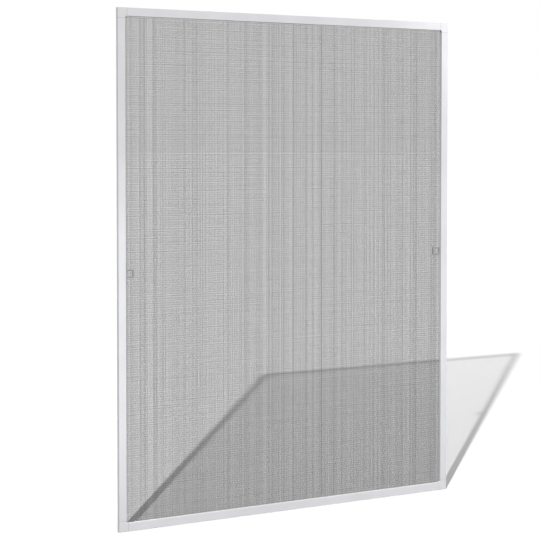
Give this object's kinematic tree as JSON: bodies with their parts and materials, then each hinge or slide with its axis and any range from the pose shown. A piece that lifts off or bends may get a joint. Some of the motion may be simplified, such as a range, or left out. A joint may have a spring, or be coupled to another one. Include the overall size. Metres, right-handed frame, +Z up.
{
  "type": "window screen frame",
  "caption": "Fixed insect screen for a window: a slim white aluminium frame with plastic corner pieces, dark woven mesh held from the rear and a pull tab at each side.",
  "frame": {"origin": "middle of the frame's outline at its foot: halfway across, halfway through its depth, on the underside of the bottom rail", "axes": "+Z up along the stiles, +X along the rails to the right as seen from the front, +Y through the frame from its plain front to its rear"},
  "size_m": [1, 0.008, 1.2],
  "materials": {
    "white_lacquer": "satin",
    "corner_plastic": "fine grain",
    "charcoal_mesh": "coated yarn",
    "spline_cord": "matt",
    "tab_plastic": "fine grain"
  },
  "bodies": {
    "root": {"top_rail": "white_lacquer", "bottom_rail": "white_lacquer", "left_stile": "white_lacquer", "right_stile": "white_lacquer", "corner_top_left": "corner_plastic", "corner_top_right": "corner_plastic", "corner_bottom_left": "corner_plastic", "corner_bottom_right": "corner_plastic", "insect_mesh": "charcoal_mesh", "spline_top": "spline_cord", "spline_bottom": "spline_cord", "spline_left": "spline_cord", "spline_right": "spline_cord", "pull_tab_left": "tab_plastic", "pull_tab_right": "tab_plastic"}
  },
  "joints": []
}
